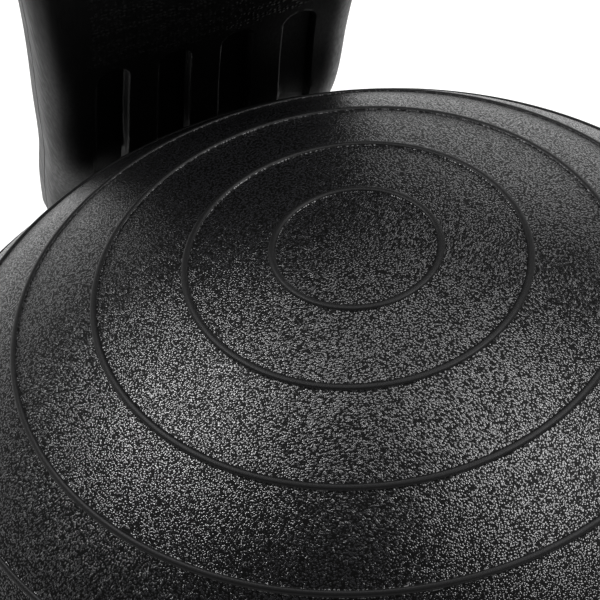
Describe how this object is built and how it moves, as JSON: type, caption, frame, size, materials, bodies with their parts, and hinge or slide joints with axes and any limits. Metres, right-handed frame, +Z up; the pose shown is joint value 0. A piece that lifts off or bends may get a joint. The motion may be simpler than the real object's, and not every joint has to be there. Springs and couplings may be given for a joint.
{
  "type": "balance ball chair",
  "caption": "Office seat made of a ribbed inflatable ball resting in a ring base on swivel casters, with a fluted backrest on a bent steel bar.",
  "frame": {"origin": "on the floor under the ball's vertical axis, level with the casters' treads", "axes": "+Z up; -Y the way the sitter faces, with the backrest at +Y; +X to the sitter's left"},
  "size_m": [0.5808, 0.5888, 0.7871],
  "materials": {
    "ball_pvc": "satin charcoal vinyl with a fine stippled grain and smooth ribs",
    "plug_plastic": "soft black plug",
    "base_plastic": "black moulded plastic with a fine spark texture",
    "backrest_plastic": "black moulded plastic with a satin face",
    "bar_paint": "black powder coat on steel tube",
    "zinc_steel": "zinc-plated steel",
    "caster_nylon": "black nylon housing",
    "wheel_nylon": "hard black nylon wheel",
    "lever_plastic": "black nylon pedal"
  },
  "bodies": {
    "chair_frame": {"base_front": "base_plastic", "base_rear": "base_plastic", "base_bolts": "zinc_steel", "base_nuts": "zinc_steel", "bar_bolts": "zinc_steel", "bar_nuts": "zinc_steel", "support_bar": "bar_paint", "bar_screws": "zinc_steel", "backrest_front": "backrest_plastic", "backrest_rear": "backrest_plastic", "backrest_screws": "zinc_steel", "leg_extenders": "base_plastic", "caster_stems": "zinc_steel", "extender_studs": "zinc_steel", "grip_rings": "zinc_steel"},
    "ball_body": {"ball": "ball_pvc"},
    "plug_body": {"air_plug": "plug_plastic"},
    "caster_front_left": {"caster_housing_front_left": "caster_nylon", "caster_axle_front_left": "zinc_steel"},
    "wheel_a_front_left": {"wheel_a_front_left": "wheel_nylon"},
    "wheel_b_front_left": {"wheel_b_front_left": "wheel_nylon"},
    "brake_front_left": {"brake_lever_front_left": "lever_plastic", "brake_pin_front_left": "zinc_steel"},
    "caster_front_right": {"caster_housing_front_right": "caster_nylon", "caster_axle_front_right": "zinc_steel"},
    "wheel_a_front_right": {"wheel_a_front_right": "wheel_nylon"},
    "wheel_b_front_right": {"wheel_b_front_right": "wheel_nylon"},
    "brake_front_right": {"brake_lever_front_right": "lever_plastic", "brake_pin_front_right": "zinc_steel"},
    "caster_rear_left": {"caster_housing_rear_left": "caster_nylon", "caster_axle_rear_left": "zinc_steel"},
    "wheel_a_rear_left": {"wheel_a_rear_left": "wheel_nylon"},
    "wheel_b_rear_left": {"wheel_b_rear_left": "wheel_nylon"},
    "caster_rear_right": {"caster_housing_rear_right": "caster_nylon", "caster_axle_rear_right": "zinc_steel"},
    "wheel_a_rear_right": {"wheel_a_rear_right": "wheel_nylon"},
    "wheel_b_rear_right": {"wheel_b_rear_right": "wheel_nylon"}
  },
  "joints": [
    {"name": "ball_lift", "type": "slide", "parent": "chair_frame", "child": "ball_body", "axis": [0, -0.6157, 0.788], "range_m": [0, 0.15]},
    {"name": "plug_pull", "type": "slide", "parent": "ball_body", "child": "plug_body", "axis": [0, 0, -1], "range_m": [0, 0.03]},
    {"name": "swivel_front_left", "type": "hinge", "parent": "chair_frame", "child": "caster_front_left", "pos_m": [-0.23193, -0.23193, 0.04], "axis": [0, 0, 1], "continuous": true},
    {"name": "spin_a_front_left", "type": "hinge", "parent": "caster_front_left", "child": "wheel_a_front_left", "pos_m": [-0.23547, -0.25527, 0.025], "axis": [0.7071, -0.7071, 0], "continuous": true},
    {"name": "spin_b_front_left", "type": "hinge", "parent": "caster_front_left", "child": "wheel_b_front_left", "pos_m": [-0.25527, -0.23547, 0.025], "axis": [0.7071, -0.7071, 0], "continuous": true},
    {"name": "brake_press_front_left", "type": "hinge", "parent": "caster_front_left", "child": "brake_front_left", "pos_m": [-0.26448, -0.26448, 0.04098], "axis": [0.7071, -0.7071, 0], "range_deg": [0, 22]},
    {"name": "swivel_front_right", "type": "hinge", "parent": "chair_frame", "child": "caster_front_right", "pos_m": [0.23193, -0.23193, 0.04], "axis": [0, 0, 1], "continuous": true},
    {"name": "spin_a_front_right", "type": "hinge", "parent": "caster_front_right", "child": "wheel_a_front_right", "pos_m": [0.25527, -0.23547, 0.025], "axis": [0.7071, 0.7071, 0], "continuous": true},
    {"name": "spin_b_front_right", "type": "hinge", "parent": "caster_front_right", "child": "wheel_b_front_right", "pos_m": [0.23547, -0.25527, 0.025], "axis": [0.7071, 0.7071, 0], "continuous": true},
    {"name": "brake_press_front_right", "type": "hinge", "parent": "caster_front_right", "child": "brake_front_right", "pos_m": [0.26448, -0.26448, 0.04098], "axis": [0.7071, 0.7071, 0], "range_deg": [0, 22]},
    {"name": "swivel_rear_left", "type": "hinge", "parent": "chair_frame", "child": "caster_rear_left", "pos_m": [-0.23193, 0.23193, 0.04], "axis": [0, 0, 1], "continuous": true},
    {"name": "spin_a_rear_left", "type": "hinge", "parent": "caster_rear_left", "child": "wheel_a_rear_left", "pos_m": [-0.25527, 0.23547, 0.025], "axis": [-0.7071, -0.7071, 0], "continuous": true},
    {"name": "spin_b_rear_left", "type": "hinge", "parent": "caster_rear_left", "child": "wheel_b_rear_left", "pos_m": [-0.23547, 0.25527, 0.025], "axis": [-0.7071, -0.7071, 0], "continuous": true},
    {"name": "swivel_rear_right", "type": "hinge", "parent": "chair_frame", "child": "caster_rear_right", "pos_m": [0.23193, 0.23193, 0.04], "axis": [0, 0, 1], "continuous": true},
    {"name": "spin_a_rear_right", "type": "hinge", "parent": "caster_rear_right", "child": "wheel_a_rear_right", "pos_m": [0.23547, 0.25527, 0.025], "axis": [-0.7071, 0.7071, 0], "continuous": true},
    {"name": "spin_b_rear_right", "type": "hinge", "parent": "caster_rear_right", "child": "wheel_b_rear_right", "pos_m": [0.25527, 0.23547, 0.025], "axis": [-0.7071, 0.7071, 0], "continuous": true}
  ]
}
